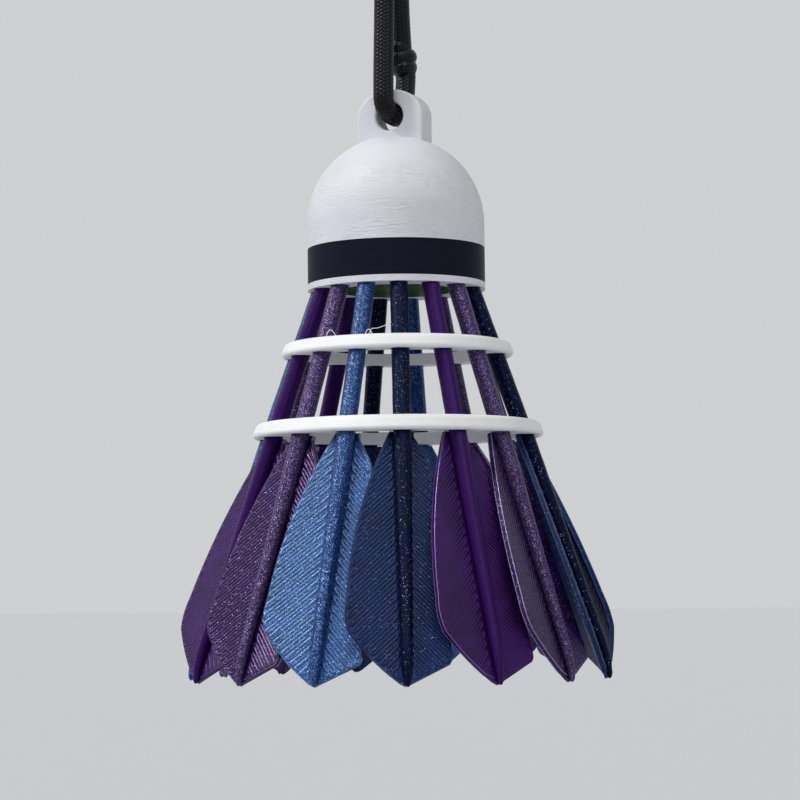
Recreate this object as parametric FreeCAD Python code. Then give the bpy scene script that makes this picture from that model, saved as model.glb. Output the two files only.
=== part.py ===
import FreeCAD, Part
import math
import os

# A small printed badminton shuttlecock that hangs as a charm from a loop of braided cord.
# Millimetres, +Z up. The origin is the hang point: the inside of the cord loop's top bend.
# The eyelet's hole runs along Y. Feather 3 points along -Y, and the feathers count on
# anticlockwise, seen from above.

os.makedirs("parts", exist_ok=True)
Vector = FreeCAD.Vector
UP = Vector(0, 0, 1)

# ---- Driving dimensions -----------------------------------------------------------------

# Cord loop
CORD_DIAMETER = 2.3
LOOP_DROP = 21.55           # hang point down to the cord's centreline in the eyelet
HANG_CLEARANCE = 0.3        # cord to the top of the eyelet's hole
STRAND_CLEARANCE = 0.3      # front strand to the lug's face
KNOT_WIDTH = 4.2            # across the turns that make the knot
KNOT_TURN_PITCH = 2.0
KNOT_TURN_TILTS_DEG = (12.0, -10.0)

# Eyelet lug
EYELET_DIAMETER = 3.45
LUG_WIDTH = 8.5
LUG_THICKNESS = 3.4
LUG_WEB = 1.55              # plastic above the hole
LUG_NECK = 0.95             # plastic between the hole and the cap's crown
LUG_EDGE_RADIUS = 0.3

# Cap
CAP_DIAMETER = 21.4
CAP_WALL_HEIGHT = 3.05      # straight wall below the dome
CAP_SKIRT = 1.7             # wall of the cap round the hub's spigot
CROWN_FLATTENING = 0.4      # how much lower the crown is than a full half sphere
CROWN_BLEND_RADIUS = 6.0

# Black band, a sleeve round the hub
BAND_HEIGHT = 4.3
BAND_WALL = 0.5

# Flange plate, which holds the quills
FLANGE_THICKNESS = 0.75
RIM_MARGIN = 0.35           # quill's outer side to the flange's edge
SPIGOT_HEIGHT = 4.0

# Core plug
DISC_DIAMETER = 14.0
DISC_THICKNESS = 0.9
STEM_DIAMETER = 5.2
STEM_REACH = 4.0            # stem's length inside the cap, above the spigot
STEM_CHAMFER = 0.5

# Feathers
FEATHER_COUNT = 15
FIRST_FEATHER_DEG = -138.0
FEATHER_TWISTS_DEG = {1: 8.0}    # by number, where one sits turned with its left vane out
QUILL_DIAMETER = 2.1
QUILL_TIP_DIAMETER = 1.1
QUILL_TIP_REACH = 0.15      # how far the quill's round end stands out past the vanes
QUILL_SLOPE_DEG = 19.7      # from the vertical
PEG_DIAMETER = 1.3
PEG_LENGTH = 4.0
VANE_LENGTH = 30.2          # lower ring to tip, along the quill
VANE_THICKNESS = 0.75
VANE_DEPTH = 0.5            # vane's outer face, inside the quill's axis
LEFT_FLARE_DEG = 13.0       # how far each vane stands out of the skirt's surface
RIGHT_FLARE_DEG = -4.0
LEFT_VANE_WIDTH = 6.7
RIGHT_VANE_WIDTH = 5.05
LEFT_ROOT_STEP = 0.3        # left vane's root, beyond the quill's side

# Lacing rings
UPPER_RING_DROP = 6.35      # flange's underside to the ring's top
UPPER_RING_HEIGHT = 1.75
LOWER_RING_DROP = 15.95
LOWER_RING_HEIGHT = 1.85
RING_OUTER_WALL = 0.7       # plastic outside each quill hole
RING_INNER_WALL = 0.3
RING_DISH = 0.4             # how far the ring's top face dips towards the middle
RING_TOP_ROUNDING = 0.7     # radius of the ring's upper outer edge
RING_BOTTOM_ROUNDING = 0.4

# Fits
QUILL_CLEARANCE = 0.12      # quill in a ring's hole, on the radius
FIT_CLEARANCE = 0.06        # peg, plug, spigot and band, on the radius
END_GAP = 0.3               # air above a peg, the stem or the spigot
OVERCUT = 1.0               # how far a cutting tool runs past the face it opens

# ---- Radii and levels that follow ---------------------------------------------------------

cord_radius = CORD_DIAMETER / 2
eyelet_radius = EYELET_DIAMETER / 2
cap_radius = CAP_DIAMETER / 2
quill_radius = QUILL_DIAMETER / 2
tip_radius = QUILL_TIP_DIAMETER / 2
hub_radius = cap_radius - BAND_WALL - FIT_CLEARANCE
recess_radius = cap_radius - CAP_SKIRT
spigot_radius = recess_radius - FIT_CLEARANCE
stem_radius = STEM_DIAMETER / 2
disc_radius = DISC_DIAMETER / 2
hole_radius = quill_radius + QUILL_CLEARANCE

cord_axis_z = -LOOP_DROP
eyelet_z = cord_axis_z - (eyelet_radius - cord_radius - HANG_CLEARANCE)
crown_z = eyelet_z - eyelet_radius - LUG_NECK
dome_z = crown_z - (cap_radius - CROWN_FLATTENING)
cap_base_z = dome_z - CAP_WALL_HEIGHT
flange_top_z = cap_base_z - BAND_HEIGHT
flange_z = flange_top_z - FLANGE_THICKNESS
spigot_top_z = cap_base_z + SPIGOT_HEIGHT
stem_top_z = spigot_top_z + STEM_REACH
upper_ring_top_z = flange_z - UPPER_RING_DROP
lower_ring_top_z = flange_z - LOWER_RING_DROP
lower_ring_z = lower_ring_top_z - LOWER_RING_HEIGHT

slope = math.radians(QUILL_SLOPE_DEG)
quill_circle = cap_radius - RIM_MARGIN - quill_radius / math.cos(slope)


def quill_point(z):
    """Point on a quill's axis at a height, on the feather that points along +X."""
    return Vector(quill_circle + (flange_z - z) * math.tan(slope), 0, z)


# Directions on the feather that points along +X, before it is turned to its place.
ALONG = Vector(math.sin(slope), 0, -math.cos(slope))
OUTWARD = Vector(math.cos(slope), 0, math.sin(slope))
SIDEWAYS = Vector(0, 1, 0)


def lines_and_arcs(steps, place):
    """Closed wire through flat points: a step of one point is a line to it, of two an arc."""
    here = place(steps[-1][-1])
    edges = []
    for step in steps:
        ends = [place(point) for point in step]
        if len(ends) == 1:
            edges.append(Part.LineSegment(here, ends[0]).toShape())
        else:
            edges.append(Part.Arc(here, *ends).toShape())
        here = ends[-1]
    return Part.Wire(edges)


def turned(steps):
    """Solid of revolution about Z, from steps in radius and height."""
    wire = lines_and_arcs(steps, lambda p: Vector(p[0], 0, p[1]))
    return Part.Face(wire).revolve(Vector(), UP, 360)


def cylinder(radius, low, high):
    return Part.makeCylinder(radius, high - low, Vector(0, 0, low))


def rod(radius, start, direction, length):
    return Part.makeCylinder(radius, length, start, direction)


def placed(shape, number):
    """Copy of a shape that points along +X, turned to a feather's place."""
    copy = shape.copy()
    copy.rotate(Vector(), UP, FIRST_FEATHER_DEG + (number - 1) * 360.0 / FEATHER_COUNT)
    return copy


def around(shape):
    """One copy of a shape at every feather's place, as a compound."""
    return Part.makeCompound([placed(shape, n) for n in range(1, FEATHER_COUNT + 1)])


def above(z):
    """Block that holds everything above a height."""
    size = 4 * (CAP_DIAMETER + VANE_LENGTH)
    return Part.makeBox(size, size, size, Vector(-size / 2, -size / 2, z))


# ---- Cap with its eyelet lug ----------------------------------------------------------------


def dome():
    """Half sphere and straight wall, with a slightly flattened crown blended in."""
    blend = min(CROWN_BLEND_RADIUS, 0.8 * cap_radius)
    rise = cap_radius - CROWN_FLATTENING
    join = math.asin((rise - blend) / (cap_radius - blend))
    flat = (cap_radius - blend) * math.cos(join)
    blend_z = dome_z + rise - blend

    def on_sphere(angle):
        return (cap_radius * math.cos(angle), dome_z + cap_radius * math.sin(angle))

    def on_blend(angle):
        return (flat + blend * math.cos(angle), blend_z + blend * math.sin(angle))

    return turned([
        [(cap_radius, cap_base_z)],
        [(cap_radius, dome_z)],
        [on_sphere(join / 2), on_sphere(join)],
        [on_blend((join + math.pi / 2) / 2), (flat, crown_z)],
        [(0, crown_z)],
        [(0, cap_base_z)],
    ])


def lug():
    """Plate in the XZ plane with a half-elliptical top and the eyelet's hole along Y."""
    half = LUG_WIDTH / 2
    front = -LUG_THICKNESS / 2
    foot_z = dome_z + cap_radius / 2
    ellipse = Part.Ellipse(Vector(), half, min(eyelet_radius + LUG_WEB, half))
    top = Part.ArcOfEllipse(ellipse, 0, math.pi).toShape()
    top.rotate(Vector(), Vector(1, 0, 0), 90)
    top.translate(Vector(0, front, eyelet_z))
    corners = [
        Vector(-half, front, eyelet_z),
        Vector(-half, front, foot_z),
        Vector(half, front, foot_z),
        Vector(half, front, eyelet_z),
    ]
    outline = Part.Wire([top] + Part.makePolygon(corners).Edges)
    plate = Part.Face(outline).extrude(SIDEWAYS * LUG_THICKNESS)
    mouth = Vector(0, front - OVERCUT, eyelet_z)
    plate = plate.cut(rod(eyelet_radius, mouth, SIDEWAYS, LUG_THICKNESS + 2 * OVERCUT))
    rims = [edge for edge in plate.Edges if is_lug_rim(edge)]
    return plate.makeFillet(LUG_EDGE_RADIUS, rims)


def is_lug_rim(edge):
    """True for the edges that lie in the lug's front or back face, its foot left out."""
    box = edge.BoundBox
    flat = box.YLength < 0.01
    foot = box.ZLength < 0.01
    return flat and not foot


def cap():
    body = dome().fuse(lug())
    recess = cylinder(recess_radius, cap_base_z - OVERCUT, spigot_top_z + END_GAP)
    bore = cylinder(stem_radius + FIT_CLEARANCE, cap_base_z, stem_top_z + END_GAP)
    return body.cut(recess).cut(bore).removeSplitter()


# ---- Band, flange plate and core plug -------------------------------------------------------


def black_band():
    sleeve = cylinder(cap_radius, flange_top_z, cap_base_z)
    inside = cylinder(cap_radius - BAND_WALL, flange_top_z - OVERCUT, cap_base_z + OVERCUT)
    return sleeve.cut(inside)


def flange_plate():
    """Thin rim with the hub above it, drilled for the quills' pegs and the plug."""
    body = turned([
        [(cap_radius, flange_z)],
        [(cap_radius, flange_top_z)],
        [(hub_radius, flange_top_z)],
        [(hub_radius, cap_base_z)],
        [(spigot_radius, cap_base_z)],
        [(spigot_radius, spigot_top_z)],
        [(0, spigot_top_z)],
        [(0, flange_z)],
    ])
    seat = cylinder(disc_radius + FIT_CLEARANCE, flange_z - OVERCUT, flange_z + DISC_THICKNESS)
    bore = cylinder(stem_radius + FIT_CLEARANCE, flange_z, spigot_top_z + OVERCUT)
    mouth = quill_point(flange_z) + ALONG * OVERCUT
    depth = OVERCUT + PEG_LENGTH + END_GAP
    socket = rod(PEG_DIAMETER / 2 + FIT_CLEARANCE, mouth, ALONG * -1, depth)
    return body.cut(seat).cut(bore).cut(around(socket))


def core_plug():
    """Disc flush with the flange's underside, and the stem that holds the head together."""
    return turned([
        [(disc_radius, flange_z)],
        [(disc_radius, flange_z + DISC_THICKNESS)],
        [(stem_radius, flange_z + DISC_THICKNESS)],
        [(stem_radius, stem_top_z - STEM_CHAMFER)],
        [(stem_radius - STEM_CHAMFER, stem_top_z)],
        [(0, stem_top_z)],
        [(0, flange_z)],
    ])


# ---- Lacing rings ---------------------------------------------------------------------------


def outer_rim(ring, level):
    """The ring's outer edge at a level, as a list for a fillet."""
    middle = quill_point(level).x
    circles = [edge for edge in ring.Edges if edge.BoundBox.ZLength < 0.01]
    return [e for e in circles if abs(e.BoundBox.ZMax - level) < 0.01 and e.BoundBox.XMax > middle]


def lacing_ring(top_z, height):
    """Ring whose faces follow the quills' slope, with a hole for each quill."""
    outer = (hole_radius + RING_OUTER_WALL) / math.cos(slope)
    inner = (hole_radius + RING_INNER_WALL) / math.cos(slope)
    bottom_z = top_z - height
    dish_z = top_z - RING_DISH
    ring = turned([
        [(quill_point(bottom_z).x + outer, bottom_z)],
        [(quill_point(top_z).x + outer, top_z)],
        [(quill_point(dish_z).x - inner, dish_z)],
        [(quill_point(bottom_z).x - inner, bottom_z)],
    ])
    for level, rounding in ((top_z, RING_TOP_ROUNDING), (bottom_z, RING_BOTTOM_ROUNDING)):
        ring = ring.makeFillet(rounding, outer_rim(ring, level))
    length = (height + 2 * OVERCUT) / math.cos(slope)
    return ring.cut(around(rod(hole_radius, quill_point(top_z + OVERCUT), ALONG, length)))


# ---- Feathers -------------------------------------------------------------------------------


def vane(outline, flare_deg, side):
    """Flat blade behind the quill, to one side of it, that stands out by a flare angle."""
    flare = math.radians(flare_deg)
    across = SIDEWAYS * (side * math.cos(flare)) + OUTWARD * math.sin(flare)
    normal = OUTWARD * math.cos(flare) - SIDEWAYS * (side * math.sin(flare))
    start = quill_point(lower_ring_z) - normal * VANE_DEPTH
    wire = lines_and_arcs(outline, lambda p: start + across * p[0] + ALONG * p[1])
    return Part.Face(wire).extrude(normal * -VANE_THICKNESS)


def left_outline():
    """Blade that widens in one long curve to a round shoulder, then runs to the tip."""
    width = LEFT_VANE_WIDTH
    length = VANE_LENGTH
    root = quill_radius + LEFT_ROOT_STEP
    return [
        [(0, -OVERCUT)],
        [(root, -OVERCUT)],
        [(root, 0)],
        [(0.72 * width, 0.32 * length), (0.985 * width, 0.68 * length)],
        [(width, 0.76 * length), (0.94 * width, 0.81 * length)],
        [(0.56 * width, 0.905 * length), (0.1 * width, 0.99 * length)],
        [(0, length)],
    ]


def right_outline():
    """Narrower blade, nearly straight, with its corner close to the tip."""
    width = RIGHT_VANE_WIDTH
    length = VANE_LENGTH
    return [
        [(0, -OVERCUT)],
        [(quill_radius, -OVERCUT)],
        [(quill_radius, 0)],
        [(0.55 * width, 0.095 * length)],
        [(0.655 * width, 0.135 * length), (0.69 * width, 0.18 * length)],
        [(0.99 * width, 0.87 * length)],
        [(width, 0.895 * length), (0.94 * width, 0.915 * length)],
        [(0.1 * width, 0.99 * length)],
        [(0, length)],
    ]


def feather(twist):
    """Feather that points along +X: peg, round quill and the two vanes, turned by a twist."""
    top = quill_point(flange_z)
    ring_point = quill_point(lower_ring_z)
    taper_length = VANE_LENGTH + QUILL_TIP_REACH - tip_radius
    tip = ring_point + ALONG * taper_length
    lead = QUILL_DIAMETER
    shaft = rod(quill_radius, top - ALONG * lead, ALONG, (ring_point - top).Length + lead)
    shaft = shaft.cut(above(flange_z))
    taper = Part.makeCone(quill_radius, tip_radius, taper_length, ring_point, ALONG)
    end = Part.makeSphere(tip_radius, tip)
    peg = rod(PEG_DIAMETER / 2, top - ALONG * PEG_LENGTH, ALONG, PEG_LENGTH + lead)
    left = vane(left_outline(), LEFT_FLARE_DEG + twist, -1)
    right = vane(right_outline(), RIGHT_FLARE_DEG - twist, 1)
    blades = left.fuse(right).cut(above(lower_ring_z))
    return shaft.fuse([peg, taper, end, blades]).removeSplitter()


# ---- Cord loop ------------------------------------------------------------------------------

# The route starts in the knot, climbs behind the lug, turns over at the hang point, comes
# down in front, goes through the eyelet from front to back and climbs into the knot again.
front_y = -(LUG_THICKNESS / 2 + STRAND_CLEARANCE + cord_radius)
CORD_ROUTE = [
    Vector(0.10, 3.90, -12.40),
    Vector(-0.15, 2.35, -8.60),
    Vector(-0.05, 2.10, -3.60),
    Vector(0.00, 2.25, cord_radius),
    Vector(0.00, -2.25, cord_radius),
    Vector(-0.20, -2.10, -4.20),
    Vector(-0.25, -2.30, -9.40),
    Vector(-0.10, front_y, -17.50),
    Vector(-0.12, front_y, cord_axis_z),
    Vector(0.05, 3.70, cord_axis_z),
    Vector(0.12, 3.95, -15.30),
]
KNOT_CENTRE = Vector(-0.70, 3.70, -13.85)


def cord_path():
    """Straight runs joined by tangent arcs, as wide as the runs beside them allow."""
    edges = []
    here = CORD_ROUTE[0]
    for before, corner, after in zip(CORD_ROUTE, CORD_ROUTE[1:], CORD_ROUTE[2:]):
        back = (before - corner).normalize()
        on = (after - corner).normalize()
        half_turn = (math.pi - back.getAngle(on)) / 2
        setback = 0.45 * min((before - corner).Length, (after - corner).Length)
        radius = setback / math.tan(half_turn)
        turn = round(math.degrees(2 * half_turn), 1)
        print("cord arc radius", round(radius, 2), "turn", turn)
        start = corner + back * setback
        finish = corner + on * setback
        inward = (back + on).normalize()
        middle = corner + inward * (radius / math.cos(half_turn) - radius)
        edges.append(Part.LineSegment(here, start).toShape())
        edges.append(Part.Arc(start, middle, finish).toShape())
        here = finish
    edges.append(Part.LineSegment(here, CORD_ROUTE[-1]).toShape())
    return Part.Wire(edges)


def strap_cord():
    path = cord_path()
    start = CORD_ROUTE[0]
    circle = Part.makeCircle(cord_radius, start, CORD_ROUTE[1] - start)
    tube = path.makePipeShell([Part.Wire(circle)], True, True)
    expected = math.pi * cord_radius ** 2 * path.Length
    share = round(tube.Volume / expected, 4)
    print("cord length", round(path.Length, 2), "volume share", share)
    return tube


def knot_turn(height, tilt):
    """A turn of the cord, drawn so tight that its middle is closed."""
    rim = KNOT_WIDTH / 2 - cord_radius
    turn = turned([
        [(rim, -cord_radius)],
        [(rim + cord_radius, 0), (rim, cord_radius)],
        [(0, cord_radius)],
        [(0, -cord_radius)],
    ])
    turn.rotate(Vector(), Vector(1, 0.4, 0), tilt)
    turn.translate(KNOT_CENTRE + UP * height)
    return turn


def strap_knot():
    """Two turns of the cord, one on the other, which tie its two ends."""
    lower = knot_turn(-KNOT_TURN_PITCH / 2, KNOT_TURN_TILTS_DEG[0])
    upper = knot_turn(KNOT_TURN_PITCH / 2, KNOT_TURN_TILTS_DEG[1])
    return lower.fuse(upper).removeSplitter()


# ---- Nodes ----------------------------------------------------------------------------------


def main():
    nodes = {
        "cap": cap(),
        "black_band": black_band(),
        "flange_plate": flange_plate(),
        "core_plug": core_plug(),
        "upper_ring": lacing_ring(upper_ring_top_z, UPPER_RING_HEIGHT),
        "lower_ring": lacing_ring(lower_ring_top_z, LOWER_RING_HEIGHT),
        "strap_cord": strap_cord(),
        "strap_knot": strap_knot(),
    }
    for number in range(1, FEATHER_COUNT + 1):
        shape = feather(FEATHER_TWISTS_DEG.get(number, 0.0))
        nodes[f"feather_{number:02d}"] = placed(shape, number)
    for node, shape in nodes.items():
        box = shape.BoundBox
        sizes = (box.XMin, box.XMax, box.YMin, box.YMax, box.ZMin, box.ZMax)
        print(node, shape.isValid(), len(shape.Solids), [round(size, 2) for size in sizes])
        shape.exportStep(f"parts/{node}.step")


main()
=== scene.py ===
import math
from random import Random
from typing import NamedTuple

import bmesh
import bpy
from mathutils import Matrix, Quaternion, Vector


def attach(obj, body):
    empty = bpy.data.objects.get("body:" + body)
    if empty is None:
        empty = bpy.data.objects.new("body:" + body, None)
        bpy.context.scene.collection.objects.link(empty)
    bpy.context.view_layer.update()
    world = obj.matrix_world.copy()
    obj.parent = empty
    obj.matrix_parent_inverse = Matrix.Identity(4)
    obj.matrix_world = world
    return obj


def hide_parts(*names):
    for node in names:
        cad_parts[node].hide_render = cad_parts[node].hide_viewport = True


# A small printed badminton shuttlecock that hangs as a charm from a loop of braided cord.
# Metres, +Z up. The origin is the hang point, inside the cord loop's top bend.
# The cap, band, flange, plug and rings are the frame's own solids with detailed materials.
# The cord, its knot and the feathers are meshes made here in place of their solids, and a few
# fine hairs of plastic on the rings are extra.

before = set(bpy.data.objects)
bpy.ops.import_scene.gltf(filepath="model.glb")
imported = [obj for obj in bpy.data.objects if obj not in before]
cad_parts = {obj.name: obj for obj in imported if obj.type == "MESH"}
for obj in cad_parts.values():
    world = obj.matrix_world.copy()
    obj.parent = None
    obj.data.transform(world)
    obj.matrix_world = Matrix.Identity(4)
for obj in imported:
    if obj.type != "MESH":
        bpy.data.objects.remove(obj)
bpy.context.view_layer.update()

MM = 0.001
UP = Vector((0, 0, 1))

# ---------------------------------------------------------------- camera
CAMERA_AZIMUTH = math.radians(22.3)
CAMERA_DISTANCE = 0.300
CAMERA_SIDESTEP = 0.00025
CAMERA_HEIGHT = -0.07835
CAMERA_PITCH = math.radians(4.24)
CAMERA_ROLL = math.radians(-0.70)
CAMERA_LENS_MM = 112.5
SENSOR_MM = 36.0
NEAREST_SEEN = 0.01
FURTHEST_SEEN = 10

TOWARDS_CAMERA = Vector((math.sin(CAMERA_AZIMUTH), -math.cos(CAMERA_AZIMUTH), 0))
CAMERA_RIGHT = Vector((math.cos(CAMERA_AZIMUTH), math.sin(CAMERA_AZIMUTH), 0))


def make_camera():
    """The camera stands a little below the middle and looks slightly up, as in the photograph."""
    data = bpy.data.cameras.new("camera")
    data.lens = CAMERA_LENS_MM
    data.sensor_width = SENSOR_MM
    data.clip_start = NEAREST_SEEN
    data.clip_end = FURTHEST_SEEN
    camera = bpy.data.objects.new("camera", data)
    forward = UP * math.sin(CAMERA_PITCH) - TOWARDS_CAMERA * math.cos(CAMERA_PITCH)
    place = TOWARDS_CAMERA * CAMERA_DISTANCE + CAMERA_RIGHT * CAMERA_SIDESTEP
    camera.location = place + UP * CAMERA_HEIGHT
    camera.rotation_mode = "QUATERNION"
    camera.rotation_quaternion = forward.to_track_quat("-Z", "Y") @ Quaternion((0, 0, 1), CAMERA_ROLL)
    bpy.context.scene.collection.objects.link(camera)
    bpy.context.scene.camera = camera


make_camera()

# ---------------------------------------------------------------- mesh helpers
SMOOTH_ANGLE = math.radians(50)


class Shape:
    """Vertices and faces of one piece, gathered shell by shell."""

    def __init__(self):
        self.points = []
        self.faces = []
        self.marks = []

    def loft(self, rings, closed=False, mark=None, weights=None):
        """A shell through rings of points. A closed one joins its last ring to its first, an open
        one is capped. Its points carry the mark, with a weight for each point of a ring if given."""
        first = len(self.points)
        count = len(rings[0])
        for ring in rings:
            self.points.extend(ring)
            self.marks.extend((mark, weight) for weight in weights or [1.0] * count)
        spans = len(rings) if closed else len(rings) - 1
        for span in range(spans):
            near = first + span * count
            far = first + (span + 1) % len(rings) * count
            for i in range(count):
                j = (i + 1) % count
                self.faces.append((near + i, near + j, far + j, far + i))
        if not closed:
            last = first + (len(rings) - 1) * count
            self.faces.append(tuple(range(first, first + count)))
            self.faces.append(tuple(range(last, last + count)))

    def mesh(self, name, material):
        """The finished mesh, with its faces turned outwards and its marks as attributes."""
        data = bpy.data.meshes.new(name)
        data.from_pydata([tuple(point) for point in self.points], [], self.faces)
        for mark in sorted({used for used, weight in self.marks if used}):
            marked = data.attributes.new(mark, "FLOAT", "POINT")
            values = [weight if used == mark else 0.0 for used, weight in self.marks]
            marked.data.foreach_set("value", values)
        work = bmesh.new()
        work.from_mesh(data)
        bmesh.ops.recalc_face_normals(work, faces=work.faces)
        work.to_mesh(data)
        work.free()
        data.shade_smooth()
        data.set_sharp_from_angle(angle=SMOOTH_ANGLE)
        data.materials.append(material)
        return data


def add_piece(name, data, body, slot, *nodes):
    """Puts a mesh in the scene as a piece that rides on a body and stands for the frame's nodes."""
    piece = bpy.data.objects.new(name, data)
    bpy.context.scene.collection.objects.link(piece)
    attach(piece, body)
    if nodes:
        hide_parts(*nodes)
    return piece


def spline_points(route, resolution):
    """Points along the smooth NURBS line that has the route as its control points."""
    data = bpy.data.curves.new("route", "CURVE")
    data.dimensions = "3D"
    data.resolution_u = resolution
    spline = data.splines.new("NURBS")
    spline.points.add(len(route) - 1)
    for point, place in zip(spline.points, route):
        point.co = (*place, 1)
    spline.order_u = 3
    spline.use_endpoint_u = True
    holder = bpy.data.objects.new("route", data)
    bpy.context.scene.collection.objects.link(holder)
    bpy.context.view_layer.update()
    line = bpy.data.meshes.new_from_object(holder)
    points = [vertex.co.copy() for vertex in line.vertices]
    bpy.data.objects.remove(holder)
    bpy.data.curves.remove(data)
    bpy.data.meshes.remove(line)
    return points


def frames_along(points):
    """The direction and two sideways axes at each point, turned as little as possible between them."""
    frames = []
    side = None
    for i in range(len(points)):
        before = points[max(i - 1, 0)]
        after = points[min(i + 1, len(points) - 1)]
        direction = (after - before).normalized()
        if side is None:
            side = direction.orthogonal().normalized()
        side = (side - direction * side.dot(direction)).normalized()
        frames.append((direction, side, direction.cross(side)))
    return frames


def lengths_along(points):
    """The distance along a line of points, at each point."""
    total = 0.0
    lengths = [0.0]
    for before, after in zip(points, points[1:]):
        total += (after - before).length
        lengths.append(total)
    return lengths


def round_section(centre, side, up, width, depth, sides):
    """An oval of points round a centre."""
    turns = [2 * math.pi * k / sides for k in range(sides)]
    return [centre + side * (math.cos(t) * width / 2) + up * (math.sin(t) * depth / 2) for t in turns]


def tube_rings(points, thickness, sides):
    """Round sections along a line of points."""
    rings = []
    for point, (_, side, up) in zip(points, frames_along(points)):
        rings.append(round_section(point, side, up, thickness, thickness, sides))
    return rings


# ---------------------------------------------------------------- material helpers
WHOLE = (0.0, 1.0)
MIDDLE = (0.3, 0.7)
INNER_MIDDLE = (0.35, 0.65)


class Paint:
    """A material's node tree, with short ways to add and join nodes."""

    def __init__(self, name):
        self.material = bpy.data.materials.new(name)
        self.material.use_nodes = True
        self.tree = self.material.node_tree
        self.shader = self.tree.nodes["Principled BSDF"]
        self.place = self.add("ShaderNodeTexCoord").outputs["Object"]

    def add(self, kind, **settings):
        """A new node of that kind, with its settings."""
        node = self.tree.nodes.new(kind)
        for name, value in settings.items():
            setattr(node, name, value)
        return node

    def join(self, source, target):
        """Links an output to an input."""
        self.tree.links.new(source, target)

    def feed(self, socket, value):
        """Joins an output to an input, or sets the input to a number or an opaque colour."""
        if isinstance(value, bpy.types.NodeSocket):
            self.join(value, socket)
        elif isinstance(value, tuple):
            socket.default_value = (*value, 1)
        else:
            socket.default_value = value

    def surface(self, name, value):
        """Feeds one of the shader's own inputs."""
        self.feed(self.shader.inputs[name], value)

    def marked(self, mark):
        """1 on the shells that carry the mark, 0 elsewhere."""
        node = self.add("ShaderNodeAttribute")
        node.attribute_name = mark
        return node.outputs["Fac"]

    def noise(self, scale, detail=3.0, fineness=None):
        """Noise with that many lumps to a metre, times a number for each axis if fineness is given."""
        node = self.add("ShaderNodeTexNoise")
        node.inputs["Scale"].default_value = scale
        node.inputs["Detail"].default_value = detail
        source = self.place
        if fineness:
            mapping = self.add("ShaderNodeMapping")
            mapping.inputs["Scale"].default_value = fineness
            self.join(source, mapping.inputs["Vector"])
            source = mapping.outputs["Vector"]
        self.join(source, node.inputs["Vector"])
        return node.outputs["Fac"]

    def height(self):
        """How high a point is."""
        parts = self.add("ShaderNodeSeparateXYZ")
        self.join(self.place, parts.inputs["Vector"])
        return parts.outputs["Z"]

    def spread(self, value, old, new):
        """Maps one range of numbers onto another, held at both ends."""
        node = self.add("ShaderNodeMapRange")
        self.join(value, node.inputs["Value"])
        node.inputs["From Min"].default_value = old[0]
        node.inputs["From Max"].default_value = old[1]
        node.inputs["To Min"].default_value = new[0]
        node.inputs["To Max"].default_value = new[1]
        return node.outputs["Result"]

    def maths(self, kind, a, b=0.0):
        """One step of arithmetic. A step that takes one number leaves out the second."""
        node = self.add("ShaderNodeMath", operation=kind)
        self.feed(node.inputs[0], a)
        self.feed(node.inputs[1], b)
        return node.outputs["Value"]

    def mix(self, factor, a, b):
        """A colour between two others."""
        node = self.add("ShaderNodeMix", data_type="RGBA")
        first, second = [socket for socket in node.inputs if socket.type == "RGBA"]
        self.feed(node.inputs["Factor"], factor)
        self.feed(first, a)
        self.feed(second, b)
        return [socket for socket in node.outputs if socket.type == "RGBA"][0]

    def bump(self, height, distance, normal=None):
        """Raises the surface by up to that distance, in metres."""
        node = self.add("ShaderNodeBump")
        node.inputs["Strength"].default_value = 1.0
        node.inputs["Distance"].default_value = distance
        self.join(height, node.inputs["Height"])
        if normal:
            self.join(normal, node.inputs["Normal"])
        return node.outputs["Normal"]


def srgb(red, green, blue):
    """A colour given as 0 to 255, as Blender's linear colour."""
    levels = [level / 255 for level in (red, green, blue)]
    return tuple(((c + 0.055) / 1.055) ** 2.4 if c > 10 / 255 else c / 12.92 for c in levels)


# ---------------------------------------------------------------- cord
CORD_ROUTE = [
    (-0.00040, 0.00375, -0.01350),
    (-0.00015, 0.00235, -0.00860),
    (-0.00005, 0.00210, -0.00360),
    (0.00000, 0.00225, 0.00115),
    (0.00000, -0.00225, 0.00115),
    (-0.00020, -0.00210, -0.00420),
    (-0.00025, -0.00230, -0.00940),
    (-0.00010, -0.00315, -0.01750),
    (-0.00012, -0.00315, -0.02155),
    (0.00005, 0.00370, -0.02155),
    (0.00000, 0.00390, -0.01430),
]
CORD_DIAMETER = 0.0023
CORD_RESOLUTION = 40

BRAID_STRANDS = 16
BRAID_LAY = 0.0075
STRAND_WIDTH = 0.00040
STRAND_DEPTH = 0.00022
STRAND_WEAVE = 0.00006
STRAND_SIDES = 7
STRAND_PROUD = 0.00004
CORE_SIDES = 16

KNOT_CENTRE = Vector((-0.00070, 0.00370, -0.01385))
KNOT_WIDTH = 0.0042
KNOT_CORD = 0.0020
KNOT_TURNS = 2.0
KNOT_POINTS_PER_TURN = 8
KNOT_START = -math.pi / 3
KNOT_RISE = 0.0026
KNOT_TUCK = 0.45
KNOT_STRETCH = 1.6
KNOT_RESOLUTION = 14

CORD_DARK = srgb(4, 4, 6)
CORD_LIGHT = srgb(9, 9, 13)
CORD_BLOTCHES = 600
CORD_ROUGHNESS = (0.22, 0.34)
CORD_GLOSS = 0.2
YARN_GRAIN = 9000
YARN_BUMP = 0.000006


def black_cord():
    """Tightly braided black yarn, slightly shiny."""
    paint = Paint("black_cord")
    yarn = paint.noise(YARN_GRAIN, detail=2.0)
    paint.surface("Base Color", paint.mix(paint.noise(CORD_BLOTCHES), CORD_DARK, CORD_LIGHT))
    paint.surface("Roughness", paint.spread(yarn, MIDDLE, CORD_ROUGHNESS))
    paint.surface("Normal", paint.bump(yarn, YARN_BUMP))
    paint.surface("Specular IOR Level", CORD_GLOSS)
    return paint.material


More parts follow.
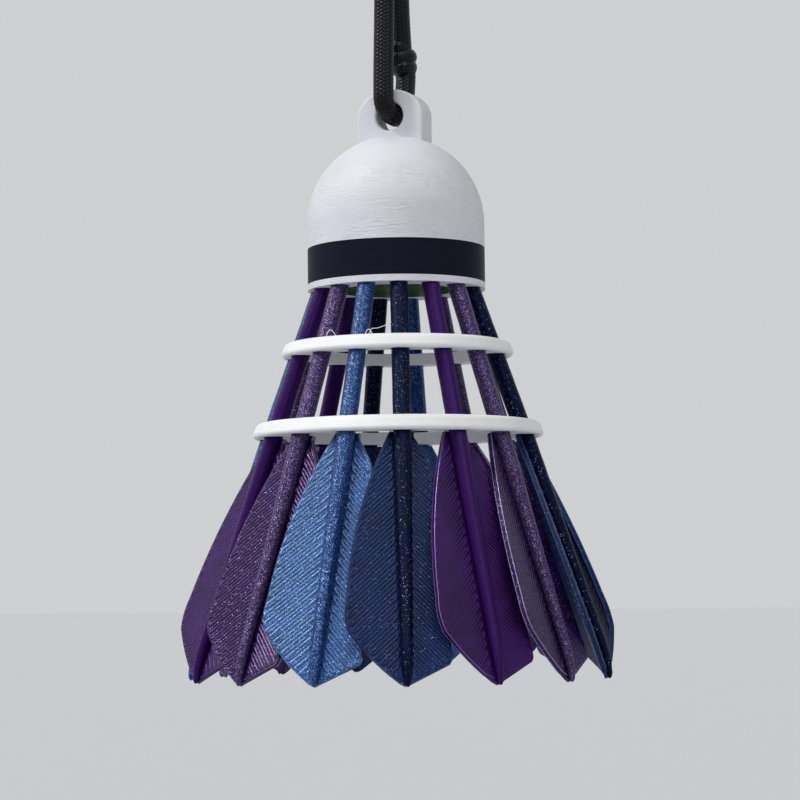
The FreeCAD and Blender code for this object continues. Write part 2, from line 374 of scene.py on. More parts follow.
def braided(points, thickness, lay, width):
    """A round braid along a line of points: strands of two hands, each over two and under two, on
    a core. Lay is the length in which a strand goes once round."""
    shape = Shape()
    frames = frames_along(points)
    lengths = lengths_along(points)
    middle = thickness / 2 - STRAND_DEPTH / 2 + STRAND_PROUD
    for hand in (1, -1):
        for strand in range(BRAID_STRANDS):
            rings = []
            for point, (direction, side, up), s in zip(points, frames, lengths):
                turn = hand * 2 * math.pi * s / lay + 2 * math.pi * strand / BRAID_STRANDS
                crossing = strand + hand * 2 * BRAID_STRANDS * s / lay
                swing = math.cos(math.pi / 2 * (crossing + strand) + math.pi / 4)
                radius = middle + hand * STRAND_WEAVE * swing
                outward = side * math.cos(turn) + up * math.sin(turn)
                around = up * math.cos(turn) - side * math.sin(turn)
                slope = hand * 2 * math.pi * radius / lay
                flat = (around - direction * slope).normalized()
                centre = point + outward * radius
                rings.append(round_section(centre, flat, outward, width, STRAND_DEPTH, STRAND_SIDES))
            shape.loft(rings)
    shape.loft(tube_rings(points, 2 * middle, CORE_SIDES))
    return shape


def knot_route():
    """Control points of the knot's turns, which start and end inside it."""
    count = int(KNOT_TURNS * KNOT_POINTS_PER_TURN)
    reach = (KNOT_WIDTH - KNOT_CORD) / 2
    route = [KNOT_CENTRE - UP * KNOT_RISE * KNOT_TUCK]
    for k in range(count + 1):
        turn = 2 * math.pi * k / KNOT_POINTS_PER_TURN + KNOT_START
        height = KNOT_RISE * (k / count - 0.5)
        route.append(KNOT_CENTRE + Vector((math.cos(turn), math.sin(turn), 0)) * reach + UP * height)
    route.append(KNOT_CENTRE + UP * KNOT_RISE * KNOT_TUCK)
    return route


def make_cord():
    """The loop through the eyelet, with the knot that joins its ends."""
    material = black_cord()
    points = spline_points(CORD_ROUTE, CORD_RESOLUTION)
    loop = braided(points, CORD_DIAMETER, BRAID_LAY, STRAND_WIDTH).mesh("cord_loop", material)
    cord = add_piece("cord_loop", loop, "strap", "black_cord", "strap_cord")
    wound = spline_points(knot_route(), KNOT_RESOLUTION)
    turns = braided(wound, KNOT_CORD, BRAID_LAY / KNOT_STRETCH, STRAND_WIDTH * KNOT_STRETCH)
    knot = add_piece("cord_knot", turns.mesh("cord_knot", material), "strap", "black_cord", "strap_knot")


make_cord()

# ---------------------------------------------------------------- feathers
FEATHER_COUNT = 15
FIRST_FEATHER_DEG = -138
TWISTED_FEATHER = 1
TWIST_DEG = 8.0
FEATHER_SEED = 5

QUILL_SLOPE = math.radians(19.7)
QUILL_CIRCLE = 0.009235
QUILL_TOP = -0.0429
QUILL_TOP_SUNK = 0.0004
QUILL_RADIUS = 0.00105
QUILL_WAVER = (0.99, 1.01)
QUILL_LINES = 14
QUILL_GROOVE = 0.000015
QUILL_SIDES = 84
QUILL_STATIONS = 24
TIP_RADIUS = 0.00055
TIP_REACH = 0.00015
TIP_BEND = 0.0040
TIP_DIVE = 0.0005
TIP_THINNING = 0.45
TIP_ROUNDING_DEG = (25, 50, 70, 85)

VANE_TOP = -0.0607
VANE_LENGTH = 0.0302
VANE_DEPTH = 0.0005
VANE_THICKNESS = 0.00075
LEFT_WIDTH = 0.0067
RIGHT_WIDTH = 0.00505
LEFT_ROOT = 0.00135
LEFT_FLARE_DEG = 13.0
RIGHT_FLARE_DEG = -4.0
BLADE_SUNK = 0.00017

RIM_WIDTH = 0.00044
RIM_LAYERS = 4
RIM_BULGE = 0.000035
RIM_SUNK = 0.00006
RIM_TOP_SUNK = 0.0001
RIM_TIP_SHARE = 0.99

BEAD_PITCH = 0.00040
BEAD_WIDTH = 0.00043
BEAD_HEIGHT = 0.00006
BEAD_SLOPE = 1.0
BEAD_STATION = 0.0014
BEAD_WANDER = 0.00002
BEAD_HEIGHTS = (0.8, 1.0)
BEAD_WIDTHS = (0.97, 1.03)
SHORTEST_ROW = 1.5 * BEAD_PITCH
BEAD_SHAPE = [
    (-1, -2.4),
    (-1, -0.2),
    (-0.64, 0.45),
    (-0.22, 0.9),
    (0.22, 0.9),
    (0.64, 0.45),
    (1, -0.2),
    (1, -2.4),
]
TURN_INSET = 0.00025
TURN_RISE = 0.00003
TURN_STEPS_DEG = (45, 90, 135)

# The least cosine of half a corner's turn that an offset allows for, so that no corner shoots out
SHARPEST_CORNER = 0.4
SHARPEST_RIM_CORNER = 0.6
SHARPEST_BEAD_CORNER = 0.75

ALONG = Vector((math.sin(QUILL_SLOPE), 0, -math.cos(QUILL_SLOPE)))
OUTWARD = Vector((math.cos(QUILL_SLOPE), 0, math.sin(QUILL_SLOPE)))
SIDEWAYS = Vector((0, 1, 0))
TAPER_LENGTH = VANE_LENGTH + TIP_REACH - TIP_RADIUS


def quill_axis(height):
    """The point of the quill's axis at that height, for a feather along +X."""
    return Vector((QUILL_CIRCLE + (QUILL_TOP - height) * math.tan(QUILL_SLOPE), 0, height))


def quill_width(down):
    """The quill's radius at that distance below the lower ring."""
    share = min(max(down / TAPER_LENGTH, 0), 1)
    return QUILL_RADIUS + (TIP_RADIUS - QUILL_RADIUS) * share


def arc(start, middle, end, steps):
    """Points on the arc from start through middle to end, without the start."""
    ax, ay = start
    bx, by = middle
    cx, cy = end
    double = 2 * (ax * (by - cy) + bx * (cy - ay) + cx * (ay - by))
    a2, b2, c2 = ax * ax + ay * ay, bx * bx + by * by, cx * cx + cy * cy
    ox = (a2 * (by - cy) + b2 * (cy - ay) + c2 * (ay - by)) / double
    oy = (a2 * (cx - bx) + b2 * (ax - cx) + c2 * (bx - ax)) / double
    radius = math.hypot(ax - ox, ay - oy)
    first = math.atan2(ay - oy, ax - ox)
    last = math.atan2(cy - oy, cx - ox)
    sweep = (last - first + math.pi) % (2 * math.pi) - math.pi
    angles = [first + sweep * k / steps for k in range(1, steps + 1)]
    return [(ox + radius * math.cos(t), oy + radius * math.sin(t)) for t in angles]


def left_edge():
    """The wide vane's outer edge from the ring to the tip, as (across, down) from the quill's axis.
    Its corners and arcs are given as shares of the vane's width and length."""
    width, length = LEFT_WIDTH, VANE_LENGTH
    edge = [(LEFT_ROOT, 0.0)]
    edge += arc(edge[-1], (0.72 * width, 0.32 * length), (0.985 * width, 0.68 * length), 10)
    edge += arc(edge[-1], (width, 0.76 * length), (0.94 * width, 0.81 * length), 5)
    edge += arc(edge[-1], (0.56 * width, 0.905 * length), (0.1 * width, 0.99 * length), 6)
    return edge


def right_edge():
    """The narrow vane's outer edge from the ring to the tip, given in the same way."""
    width, length = RIGHT_WIDTH, VANE_LENGTH
    edge = [(QUILL_RADIUS, 0.0), (0.55 * width, 0.095 * length)]
    edge += arc(edge[-1], (0.655 * width, 0.135 * length), (0.69 * width, 0.18 * length), 4)
    edge += [(0.99 * width, 0.87 * length)]
    edge += arc(edge[-1], (width, 0.895 * length), (0.94 * width, 0.915 * length), 4)
    edge += [(0.1 * width, 0.99 * length)]
    return edge


class Vane:
    """One vane's flat coordinates: across from the quill's axis, down from the ring, and out from
    the vane's outer face."""

    def __init__(self, side, flare):
        self.across = SIDEWAYS * (side * math.cos(flare)) + OUTWARD * math.sin(flare)
        self.normal = OUTWARD * math.cos(flare) - SIDEWAYS * (side * math.sin(flare))
        self.start = quill_axis(VANE_TOP) - self.normal * VANE_DEPTH

    def point(self, across, down, out):
        """The place of a flat point, moved down if it would be above the ring's underside."""
        place = self.start + self.across * across + ALONG * down + self.normal * out
        if place.z > VANE_TOP:
            place += ALONG * ((place.z - VANE_TOP) / -ALONG.z)
        return place

    def top(self, across, out):
        """How far down the vane's top edge is, which lies against the ring's flat underside."""
        place = self.start + self.across * across + self.normal * out
        return (VANE_TOP - place.z) / ALONG.z


def shrunk(loop, distance):
    """A closed loop of flat points moved inwards."""
    result = []
    count = len(loop)
    pairs = zip(loop, loop[1:] + loop[:1])
    sign = 1 if sum(a.x * b.y - b.x * a.y for a, b in pairs) > 0 else -1
    for i, point in enumerate(loop):
        before = (point - loop[i - 1]).normalized()
        after = (loop[(i + 1) % count] - point).normalized()
        inward = [Vector((-way.y, way.x)) * sign for way in (before, after)]
        mitre = (inward[0] + inward[1]).normalized()
        result.append(point + mitre * (distance / max(mitre.dot(inward[0]), SHARPEST_CORNER)))
    return result


def rim_section():
    """The wall's section as (sideways, out): a stack of print layers, each rounded on both sides.
    The weights leave its top and bottom edges out of the wall's mark."""
    tall = (VANE_THICKNESS - 2 * RIM_SUNK) / RIM_LAYERS
    face = []
    for layer in range(RIM_LAYERS):
        for step in (-1, -0.5, 0, 0.5):
            sideways = RIM_WIDTH / 2 - RIM_BULGE * step * step
            face.append((sideways, -RIM_SUNK - tall * (layer + (step + 1) / 2)))
    face.append((RIM_WIDTH / 2 - RIM_BULGE, RIM_SUNK - VANE_THICKNESS))
    weights = [0.0] + [1.0] * (len(face) - 2) + [0.0]
    return face + [(-sideways, out) for sideways, out in reversed(face)], weights * 2


def add_rim(shape, vane, loop):
    """The printed wall round a vane."""
    count = len(loop)
    section, weights = rim_section()
    rings = []
    for i, point in enumerate(loop):
        before = (point - loop[i - 1]).normalized()
        after = (loop[(i + 1) % count] - point).normalized()
        direction = (before + after).normalized()
        side = Vector((direction.y, -direction.x)) / max(direction.dot(before), SHARPEST_RIM_CORNER)
        ring = []
        for sideways, out in section:
            flat = point + side * sideways
            ring.append(vane.point(flat.x, flat.y, out))
        rings.append(ring)
    shape.loft(rings, closed=True, mark="wall", weights=weights)


def bead_rows(loop, direction, across):
    """Where each row of print bead begins and ends between a vane's walls."""
    count = len(loop)
    spans = [across.dot(point) for point in loop]
    rows = []
    row = math.ceil(min(spans) / BEAD_PITCH)
    while row * BEAD_PITCH < max(spans):
        offset = row * BEAD_PITCH
        hits = []
        for i in range(count):
            near = spans[i] - offset
            far = spans[(i + 1) % count] - offset
            if near * far < 0:
                hits.append(direction.dot(loop[i].lerp(loop[(i + 1) % count], near / (near - far))))
        if hits and max(hits) - min(hits) > SHORTEST_ROW:
            rows.append((offset, min(hits), max(hits)))
        row += 1
    return rows


def bead_path(rows, direction, across):
    """The print bead's way over a vane, as points and how far each is into a turn: every row runs
    back beside the last, with a round turn at the wall."""
    path = []
    for k, (offset, low, high) in enumerate(rows):
        forward = k % 2 == 0
        begin, end = (low, high) if forward else (high, low)
        inset = BEAD_PITCH / 2 if forward else -BEAD_PITCH / 2
        start = direction * (begin + inset) + across * offset
        leave = direction * (end - inset) + across * offset
        steps = max(round((leave - start).length / BEAD_STATION), 1)
        path.extend((start.lerp(leave, step / steps), 0.0) for step in range(steps + 1))
        if k + 1 < len(rows):
            next_offset, next_low, next_high = rows[k + 1]
            arrive = direction * ((next_high if forward else next_low) - inset) + across * next_offset
            for turn in TURN_STEPS_DEG:
                t = math.radians(turn)
                round_point = leave.lerp(arrive, (1 - math.cos(t)) / 2) + direction * (inset * math.sin(t))
                path.append((round_point, math.sin(t)))
    return path


def add_beads(shape, vane, loop, slope, face, chance):
    """One long print bead that fills a vane between its walls, on its outer face (1) or its inner
    face (-1)."""
    direction = Vector((1, slope)).normalized()
    across = Vector((-direction.y, direction.x))
    path = bead_path(bead_rows(loop, direction, across), direction, across)
    level = -BEAD_HEIGHT if face > 0 else BEAD_HEIGHT - VANE_THICKNESS
    rings = []
    for i, (point, rise) in enumerate(path):
        before = (point - path[i - 1][0]).normalized() if i else (path[1][0] - point).normalized()
        after = (path[i + 1][0] - point).normalized() if i + 1 < len(path) else before
        way = (before + after).normalized()
        side = Vector((way.y, -way.x)) / max(way.dot(before), SHARPEST_BEAD_CORNER)
        tall = BEAD_HEIGHT * chance.uniform(*BEAD_HEIGHTS) + TURN_RISE * rise
        wander = side * chance.uniform(-BEAD_WANDER, BEAD_WANDER)
        half = BEAD_WIDTH / 2 * chance.uniform(*BEAD_WIDTHS)
        ring = []
        for u, v in BEAD_SHAPE:
            flat = point + wander + side * (u * half)
            ring.append(vane.point(flat.x, flat.y, level + face * v * tall))
        rings.append(ring)
    shape.loft(rings)


def add_blade(shape, vane, edge):
    """The vane's solid body, a little thinner than its beads."""
    loop = [(0.0, 0.0)] + edge + [(0.0, VANE_LENGTH)]
    rings = []
    for out in (-BLADE_SUNK, BLADE_SUNK - VANE_THICKNESS):
        ring = []
        for across, down in loop:
            ring.append(vane.point(across, max(down, vane.top(across, out)), out))
        rings.append(ring)
    shape.loft(rings)


def add_quill(shape, chance):
    """The quill: a rod with faint lengthwise lines, which tapers below the lower ring and dives
    into the vanes at its tip."""
    start = quill_axis(QUILL_TOP + QUILL_TOP_SUNK)
    straight = (QUILL_TOP + QUILL_TOP_SUNK - VANE_TOP) / math.cos(QUILL_SLOPE)
    stations = [(straight * k / QUILL_STATIONS, QUILL_RADIUS) for k in range(QUILL_STATIONS)]
    for k in range(QUILL_STATIONS + 1):
        down = TAPER_LENGTH * k / QUILL_STATIONS
        stations.append((straight + down, quill_width(down)))
    for turn in TIP_ROUNDING_DEG:
        tip = math.radians(turn)
        stations.append((straight + TAPER_LENGTH + TIP_RADIUS * math.sin(tip), TIP_RADIUS * math.cos(tip)))
    end = straight + TAPER_LENGTH + TIP_RADIUS
    rings = []
    for distance, radius in stations:
        near_tip = max(1 - (end - distance) / TIP_BEND, 0) ** 2
        slim = radius * chance.uniform(*QUILL_WAVER) * (1 - TIP_THINNING * near_tip)
        centre = start + ALONG * distance - OUTWARD * (TIP_DIVE * near_tip)
        ring = []
        for k in range(QUILL_SIDES):
            turn = 2 * math.pi * k / QUILL_SIDES
            valley = (1 - abs(math.cos(QUILL_LINES / 2 * turn))) ** 2
            reach = slim * (1 - QUILL_GROOVE / QUILL_RADIUS * valley)
            spoke = OUTWARD * math.cos(turn) + SIDEWAYS * math.sin(turn)
            ring.append(centre + spoke * reach)
        rings.append(ring)
    shape.loft(rings, mark="quill")


def feather_shape(twist):
    """One feather along +X: quill, wide left vane and narrow right vane, with their print beads."""
    shape = Shape()
    chance = Random(FEATHER_SEED)
    add_quill(shape, chance)
    sides = [
        (-1, math.radians(LEFT_FLARE_DEG + twist), left_edge()),
        (1, math.radians(RIGHT_FLARE_DEG - twist), right_edge()),
    ]
    for side, flare, edge in sides:
        vane = Vane(side, flare)
        add_blade(shape, vane, edge)
        lowest = edge[-1][1]
        inner = [(quill_width(lowest), lowest * RIM_TIP_SHARE), (QUILL_RADIUS - RIM_TOP_SUNK, 0.0)]
        outline = [Vector(point) for point in edge[:-1] + inner]
        add_rim(shape, vane, shrunk(outline, RIM_WIDTH / 2))
        filled = shrunk(outline, TURN_INSET)
        add_beads(shape, vane, filled, BEAD_SLOPE, 1, chance)
        add_beads(shape, vane, filled, -BEAD_SLOPE, -1, chance)
    return shape


# ---------------------------------------------------------------- feather materials
QUILL_SHEEN = 0.4
# The walls are part metal, and their layers are painted a pale colour as a painted sheen.
WALL_METAL = 0.4
WALL_PAINTED_SHEEN = 0.75

PLASTIC_BLOTCHES = 380
BEAD_LUMPS = 1900
BEAD_UNEVENNESS = 0.000045
GRAIN = 14000
GRAIN_BUMP = 0.000006
SILK_ROUGHNESS_SPREAD = 0.06

FLAKE_SIZE = 0.00012
FLAKE_EDGE = (0.34, 0.50)
FLAKE_STRENGTH = 0.6
FLAKE_ROUGHNESS = 0.32
FLAKE_TILT = 1.1


class Look(NamedTuple):
    """A printed plastic's looks: its own colour from dark to light, its colour on the quills, a pale colour
    painted on the walls as a sheen, the tint and strength of its sheen, and any metal flakes with their
    share of cells."""

    dark: tuple
    light: tuple
    quill: tuple
    pale: tuple
    tint: tuple
    gloss: float
    roughness: float
    flake: tuple = None
    flake_share: float = 0.0
    quill_flake_share: float = 0.0


# The sky and navy quill colours are darker than their vanes' colours, as painted shade. Mauve's lighter
# quill colour is its denser glitter.
LOOKS = {
    "purple_silk": Look(
        dark=srgb(40, 13, 66),
        light=srgb(54, 20, 90),
        quill=srgb(48, 18, 82),
        pale=srgb(164, 140, 200),
        tint=(0.66, 0.46, 1.0),
        gloss=0.40,
        roughness=0.28,
    ),
    "mauve_glitter": Look(
        dark=srgb(24, 8, 50),
        light=srgb(34, 13, 66),
        quill=srgb(58, 45, 82),
        pale=srgb(184, 170, 210),
        tint=(0.66, 0.42, 1.0),
        gloss=0.56,
        roughness=0.26,
        flake=srgb(158, 142, 188),
        flake_share=0.12,
        quill_flake_share=0.5,
    ),
    "sky_glitter": Look(
        dark=srgb(20, 48, 106),
        light=srgb(35, 70, 138),
        quill=srgb(22, 48, 106),
        pale=srgb(120, 156, 206),
        tint=(0.46, 0.76, 1.0),
        gloss=0.92,
        roughness=0.28,
        flake=srgb(132, 172, 222),
        flake_share=0.25,
        quill_flake_share=0.5,
    ),
    "navy_glitter": Look(
        dark=srgb(11, 20, 58),
        light=srgb(17, 30, 78),
        quill=srgb(5, 9, 38),
        pale=srgb(70, 88, 136),
        tint=(0.40, 0.62, 1.0),
        gloss=0.36,
        roughness=0.36,
        flake=srgb(142, 154, 190),
        flake_share=0.04,
        quill_flake_share=0.07,
    ),
}
COLOURS = {"p": "purple_silk", "m": "mauve_glitter", "s": "sky_glitter", "n": "navy_glitter"}
FEATHER_COLOURS = "pmsnpmnnpmsnpms"


def set_sheen(paint, look):
    """A tinted sheen, lower on the round quills."""
    level = paint.spread(paint.marked("quill"), WHOLE, (look.gloss, look.gloss * QUILL_SHEEN))
    paint.surface("Specular IOR Level", level)
    paint.surface("Specular Tint", look.tint)


def plastic_body(paint, look):
    """The plastic's own colour, with another tone on the quills (darker for sky and navy as painted shade,
    lighter for mauve's denser glitter) and a pale painted sheen on the walls' layers.
    """
    tone = paint.spread(paint.noise(PLASTIC_BLOTCHES), INNER_MIDDLE, WHOLE)
    body = paint.mix(paint.marked("quill"), paint.mix(tone, look.dark, look.light), look.quill)
    # The walls' layers are painted pale. This is a painted sheen of lit edges.
    return paint.mix(paint.spread(paint.marked("wall"), WHOLE, (0, WALL_PAINTED_SHEEN)), body, look.pale)


def uneven_beads(paint):
    """The surface of laid plastic: uneven along each bead, with a fine grain."""
    lumps = paint.bump(paint.noise(BEAD_LUMPS, detail=4.0), BEAD_UNEVENNESS)
    return paint.bump(paint.noise(GRAIN, detail=2.0), GRAIN_BUMP, lumps)


def silk_plastic(name, look):
    """Silky plastic: a deep colour with a tinted sheen along its print lines."""
    paint = Paint(name)
    fine = paint.noise(GRAIN, detail=2.0)
    roughness = (look.roughness - SILK_ROUGHNESS_SPREAD, look.roughness + SILK_ROUGHNESS_SPREAD)
    paint.surface("Base Color", plastic_body(paint, look))
    paint.surface("Metallic", paint.spread(paint.marked("wall"), WHOLE, (0, WALL_METAL)))
    paint.surface("Roughness", paint.spread(fine, MIDDLE, roughness))
    paint.surface("Normal", uneven_beads(paint))
    set_sheen(paint, look)
    return paint.material


def tilted(paint, normal, offset, amount):
    """A normal that leans by an offset from (0.5, 0.5, 0.5), times an amount."""
    lean = paint.add("ShaderNodeVectorMath", operation="SUBTRACT")
    paint.join(offset, lean.inputs[0])
    lean.inputs[1].default_value = (0.5, 0.5, 0.5)
    scaled = paint.add("ShaderNodeVectorMath", operation="SCALE")
    paint.join(lean.outputs["Vector"], scaled.inputs[0])
    paint.join(amount, scaled.inputs["Scale"])
    leaning = paint.add("ShaderNodeVectorMath", operation="ADD")
    paint.join(normal, leaning.inputs[0])
    paint.join(scaled.outputs["Vector"], leaning.inputs[1])
    unit = paint.add("ShaderNodeVectorMath", operation="NORMALIZE")
    paint.join(leaning.outputs["Vector"], unit.inputs[0])
    return unit.outputs["Vector"]


def glitter_plastic(name, look):
    """Silky plastic with metal flakes, each at its own tilt. They show more on quills and walls."""
    paint = Paint(name)
    wall = paint.marked("wall")
    raised = paint.maths("MAXIMUM", paint.marked("quill"), wall)
    cells = paint.add("ShaderNodeTexVoronoi")
    cells.inputs["Scale"].default_value = 1 / FLAKE_SIZE
    paint.join(paint.place, cells.inputs["Vector"])
    parts = paint.add("ShaderNodeSeparateColor")
    paint.join(cells.outputs["Color"], parts.inputs["Color"])
    rarity = paint.spread(raised, WHOLE, (1 - look.flake_share, 1 - look.quill_flake_share))
    chosen = paint.maths("GREATER_THAN", parts.outputs["Blue"], rarity)
    inside = paint.spread(cells.outputs["Distance"], FLAKE_EDGE, (FLAKE_STRENGTH, 0))
    flakes = paint.maths("MULTIPLY", chosen, inside)
    metal = paint.maths("MAXIMUM", flakes, paint.spread(wall, WHOLE, (0, WALL_METAL)))
    rough = paint.spread(flakes, (0, FLAKE_STRENGTH), (look.roughness, FLAKE_ROUGHNESS))
    tilt = paint.maths("MULTIPLY", flakes, FLAKE_TILT)
    paint.surface("Base Color", paint.mix(flakes, plastic_body(paint, look), look.flake))
    paint.surface("Metallic", metal)
    paint.surface("Roughness", rough)
    paint.surface("Normal", tilted(paint, uneven_beads(paint), cells.outputs["Color"], tilt))
    set_sheen(paint, look)
    return paint.material


def make_feathers():
    """The 15 feathers, in a ring round the axis."""
    paints = {}
    for name, look in LOOKS.items():
        paints[name] = glitter_plastic(name, look) if look.flake else silk_plastic(name, look)
    plain = feather_shape(0)
    twisted = feather_shape(TWIST_DEG)
    for number in range(1, FEATHER_COUNT + 1):
        slot = COLOURS[FEATHER_COLOURS[number - 1]]
        name = f"feather_{number:02d}"
        shape = twisted if number == TWISTED_FEATHER else plain
        data = shape.mesh(f"printed_{name}", paints[slot])
        turn = math.radians(FIRST_FEATHER_DEG + 360 / FEATHER_COUNT * (number - 1))
        data.transform(Matrix.Rotation(turn, 4, "Z"))
        add_piece(f"printed_{name}", data, "shuttlecock", slot, name)


make_feathers()

# ---------------------------------------------------------------- cap, band, plug and rings
PRINT_LAYER = 0.0002
LAYER_WOBBLE = 0.00005
WOBBLE_LUMPS = 250

WHITE_BLOTCHES = 160
WHITE_TONES = (0.1, 0.6)
WHITE_ROUGHNESS = (0.45, 0.6)
WHITE_GLOSS = 0.4
WHITE_LAYER_BUMP = 0.000004
SCAR_MARKS = 800
SCAR_FINENESS = (1, 1, 4.5)
SCAR_LEVELS = (0.40, 0.72)
SCAR_FADE = 0.004
SCAR_BREAKS = 330
SCAR_BREAK_LEVELS = (0.40, 0.62)
SCAR_BREAK_LEAST = 0.15
SCAR_SHADE = 0.3
SCAR_BUMP = 0.00004
FAINTEST_LAYER = 0.2
CAP_SCARS_BELOW = -0.0300
BELOW_EVERYTHING = -0.1

SLEEVE_DARK = srgb(20, 22, 33)
SLEEVE_LIGHT = srgb(30, 32, 46)
SLEEVE_STREAKS = 300
SLEEVE_FINENESS = (1, 1, 8)
SLEEVE_ROUGHNESS = (0.36, 0.46)
SLEEVE_GLOSS = 0.03
SLEEVE_LAYER_BUMP = 0.000003

PLUG_DARK = srgb(22, 56, 14)
PLUG_LIGHT = srgb(34, 74, 20)
PLUG_BLOTCHES = 500
PLUG_ROUGHNESS = (0.4, 0.55)
PLUG_GLOSS = 0.02
PLUG_LINES = 2500
PLUG_FINENESS = (0.1, 1, 1)
PLUG_BUMP = 0.00004


def dress(name, material):
    """Gives one of the frame's nodes a detailed material."""
    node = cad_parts[name]
    node.data.materials.clear()
    node.data.materials.append(material)


def layered(paint):
    """The height of stacked print layers, one rounded line to each."""
    wobble = paint.maths("MULTIPLY", paint.noise(WOBBLE_LUMPS, detail=2.0), LAYER_WOBBLE)
    layers = paint.maths("DIVIDE", paint.maths("ADD", paint.height(), wobble), PRINT_LAYER)
    return paint.maths("ABSOLUTE", paint.maths("SINE", paint.maths("MULTIPLY", layers, math.pi)))


def white_print(name, dark, light, scars_below):
    """White print: fine layers, and short level scars that fade out above a height. The scars also darken
    the colour, as painted shade in their grooves.
    """
    paint = Paint(name)
    marks = paint.noise(SCAR_MARKS, fineness=SCAR_FINENESS)
    broken = paint.noise(SCAR_BREAKS, detail=2.0)
    depth = paint.spread(paint.height(), (scars_below, scars_below + SCAR_FADE), (1, 0))
    scars = paint.maths("MULTIPLY", paint.spread(marks, SCAR_LEVELS, WHOLE), depth)
    breaks = paint.spread(broken, SCAR_BREAK_LEVELS, (SCAR_BREAK_LEAST, 1))
    scars = paint.maths("MULTIPLY", scars, breaks)
    # The scars darken the colour here: painted shade in their grooves.
    shade = paint.maths("SUBTRACT", paint.noise(WHITE_BLOTCHES), paint.maths("MULTIPLY", scars, SCAR_SHADE))
    paint.surface("Base Color", paint.mix(paint.spread(shade, WHITE_TONES, WHOLE), dark, light))
    paint.surface("Roughness", paint.spread(marks, MIDDLE, WHITE_ROUGHNESS))
    faded = paint.spread(broken, INNER_MIDDLE, (FAINTEST_LAYER, 1))
    layers = paint.bump(paint.maths("MULTIPLY", layered(paint), faded), WHITE_LAYER_BUMP)
    paint.surface("Normal", paint.bump(scars, SCAR_BUMP, layers))
    paint.surface("Specular IOR Level", WHITE_GLOSS)
    return paint.material


def black_sleeve():
    """Nearly matt black print with level streaks."""
    paint = Paint("black_sleeve")
    tone = paint.noise(SLEEVE_STREAKS, fineness=SLEEVE_FINENESS)
    paint.surface("Base Color", paint.mix(tone, SLEEVE_DARK, SLEEVE_LIGHT))
    paint.surface("Roughness", paint.spread(tone, MIDDLE, SLEEVE_ROUGHNESS))
    paint.surface("Normal", paint.bump(layered(paint), SLEEVE_LAYER_BUMP))
    paint.surface("Specular IOR Level", SLEEVE_GLOSS)
    return paint.material


def green_plug():
    """Matt green print with lines across its end."""
    paint = Paint("green_plug")
    tone = paint.noise(PLUG_BLOTCHES)
    lines = paint.noise(PLUG_LINES, detail=2.0, fineness=PLUG_FINENESS)
    paint.surface("Base Color", paint.mix(tone, PLUG_DARK, PLUG_LIGHT))
    paint.surface("Roughness", paint.spread(tone, MIDDLE, PLUG_ROUGHNESS))
    paint.surface("Normal", paint.bump(lines, PLUG_BUMP))
    paint.surface("Specular IOR Level", PLUG_GLOSS)
    return paint.material


# The cap and the flange are painted a darker copy of the rings' white, as painted shade.
CAP_WHITE_SHADED = white_print("cap_white_shaded", srgb(212, 213, 219), srgb(228, 229, 235), CAP_SCARS_BELOW)
RING_WHITE = white_print("ring_white", srgb(236, 237, 239), srgb(249, 250, 251), BELOW_EVERYTHING)
dress("cap", CAP_WHITE_SHADED)
dress("flange_plate", CAP_WHITE_SHADED)
dress("upper_ring", RING_WHITE)
dress("lower_ring", RING_WHITE)
dress("black_band", black_sleeve())
dress("core_plug", green_plug())

# ---------------------------------------------------------------- wisps
# Fine hairs of plastic left on the rings. Each follows control points given as the turn round
# the axis in degrees, and the radius and height in millimetres.
WISP_WIDTH = 0.00009
WISP_SIDES = 6
WISP_RESOLUTION = 6
WISPS = [
    [
        (-107.7, 12.9, -49.4),
        (-106.5, 12.95, -48.9),
        (-104.4, 13.0, -48.5),
        (-102.2, 12.95, -48.9),
        (-101.1, 12.9, -49.4),
    ],
    [
        (-82.0, 12.9, -49.4),
        (-81.2, 13.0, -48.7),
        (-79.4, 12.9, -48.7),
        (-76.8, 12.4, -48.6),
        (-70.0, 11.3, -47.8),
    ],
    [(-84.2, 12.9, -49.4), (-83.6, 13.0, -48.9), (-81.6, 13.0, -48.7), (-80.4, 12.9, -49.4)],
    [(-51.2, 16.3, -59.0), (-51.0, 16.4, -58.6), (-50.2, 16.3, -58.4)],
]


def make_wisps():
    """All the hairs, as one piece."""
    shape = Shape()
    for wisp in WISPS:
        route = []
        for turn, radius, height in wisp:
            angle = math.radians(turn)
            route.append(Vector((radius * math.cos(angle), radius * math.sin(angle), height)) * MM)
        shape.loft(tube_rings(spline_points(route, WISP_RESOLUTION), WISP_WIDTH, WISP_SIDES))
    add_piece("ring_wisps", shape.mesh("ring_wisps", RING_WHITE), "shuttlecock", "white_print")


make_wisps()

# ---------------------------------------------------------------- floor and light
FLOOR_HEIGHT = -0.125
FLOOR_SIZE = 8.0
FLOOR_COLOUR = (0.68, 0.69, 0.71)
FLOOR_ROUGHNESS = 0.8
FLOOR_GLOSS = 0.1
WORLD_COLOUR = (0.96, 0.98, 1.0)
WORLD_LIGHT = 0.20
WORLD_SHOWN = 0.64

# Each lamp's direction as right, towards the camera and up, its strength and its width in degrees
LAMPS = {
    "key": ((-0.65, 0.20, 0.73), 1.45, 14),
    "side": ((-0.89, -0.12, 0.43), 0.35, 40),
    "front": ((0.06, 0.64, 0.76), 1.12, 50),
}


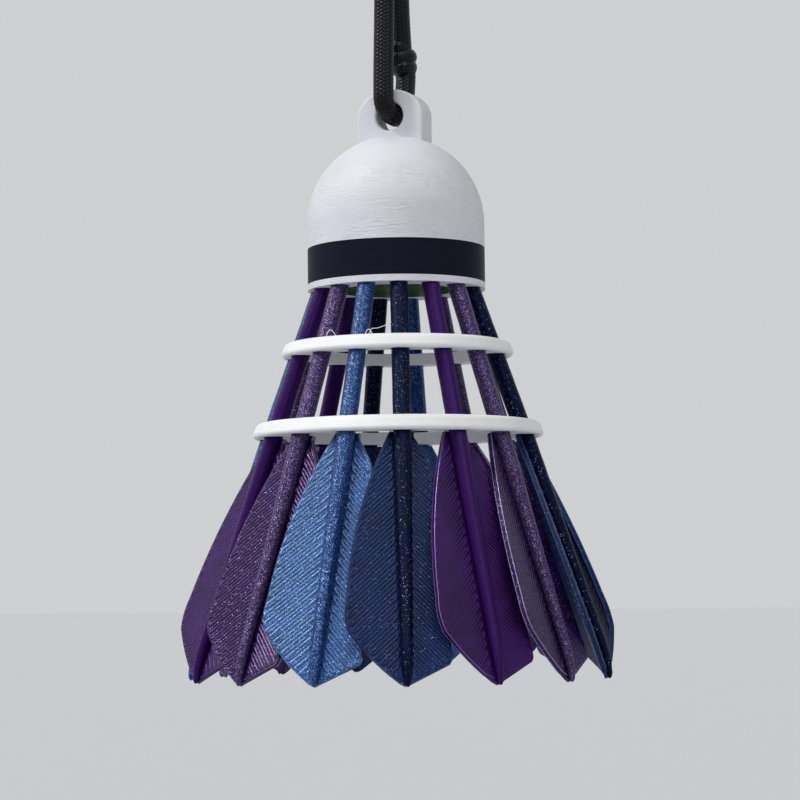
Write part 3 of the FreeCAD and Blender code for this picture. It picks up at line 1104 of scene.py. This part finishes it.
def make_floor():
    """A plain pale floor under the hanging charm."""
    half = FLOOR_SIZE / 2
    data = bpy.data.meshes.new("floor")
    corners = [(-half, -half, 0), (half, -half, 0), (half, half, 0), (-half, half, 0)]
    data.from_pydata(corners, [], [(0, 1, 2, 3)])
    paint = Paint("floor")
    paint.surface("Base Color", FLOOR_COLOUR)
    paint.surface("Roughness", FLOOR_ROUGHNESS)
    paint.surface("Specular IOR Level", FLOOR_GLOSS)
    data.materials.append(paint.material)
    floor = bpy.data.objects.new("floor", data)
    floor.location.z = FLOOR_HEIGHT
    bpy.context.scene.collection.objects.link(floor)


def make_world():
    """An even pale grey to look at and in reflections, and a lower even light on everything."""
    world = bpy.data.worlds.new("studio")
    world.use_nodes = True
    tree = world.node_tree
    ground = tree.nodes["Background"]
    ground.inputs["Color"].default_value = (*WORLD_COLOUR, 1)
    path = tree.nodes.new("ShaderNodeLightPath")
    shown = path.outputs["Is Camera Ray"]
    for name in ("Is Glossy Ray", "Is Transmission Ray"):
        either = tree.nodes.new("ShaderNodeMath")
        either.operation = "MAXIMUM"
        tree.links.new(shown, either.inputs[0])
        tree.links.new(path.outputs[name], either.inputs[1])
        shown = either.outputs["Value"]
    level = tree.nodes.new("ShaderNodeMapRange")
    tree.links.new(shown, level.inputs["Value"])
    level.inputs["To Min"].default_value = WORLD_LIGHT
    level.inputs["To Max"].default_value = WORLD_SHOWN
    tree.links.new(level.outputs["Result"], ground.inputs["Strength"])
    bpy.context.scene.world = world


def add_lamp(name, source, strength, width_deg):
    """A broad soft lamp a long way off."""
    data = bpy.data.lights.new(name, "SUN")
    data.angle = math.radians(width_deg)
    data.energy = strength
    lamp = bpy.data.objects.new(name, data)
    right, nearer, up = source
    towards = CAMERA_RIGHT * right + TOWARDS_CAMERA * nearer + UP * up
    lamp.rotation_mode = "QUATERNION"
    lamp.rotation_quaternion = towards.to_track_quat("Z", "Y")
    bpy.context.scene.collection.objects.link(lamp)


make_floor()
make_world()
for lamp_name, (lamp_source, lamp_strength, lamp_width_deg) in LAMPS.items():
    add_lamp(lamp_name, lamp_source, lamp_strength, lamp_width_deg)
bpy.context.scene.view_settings.view_transform = "Standard"
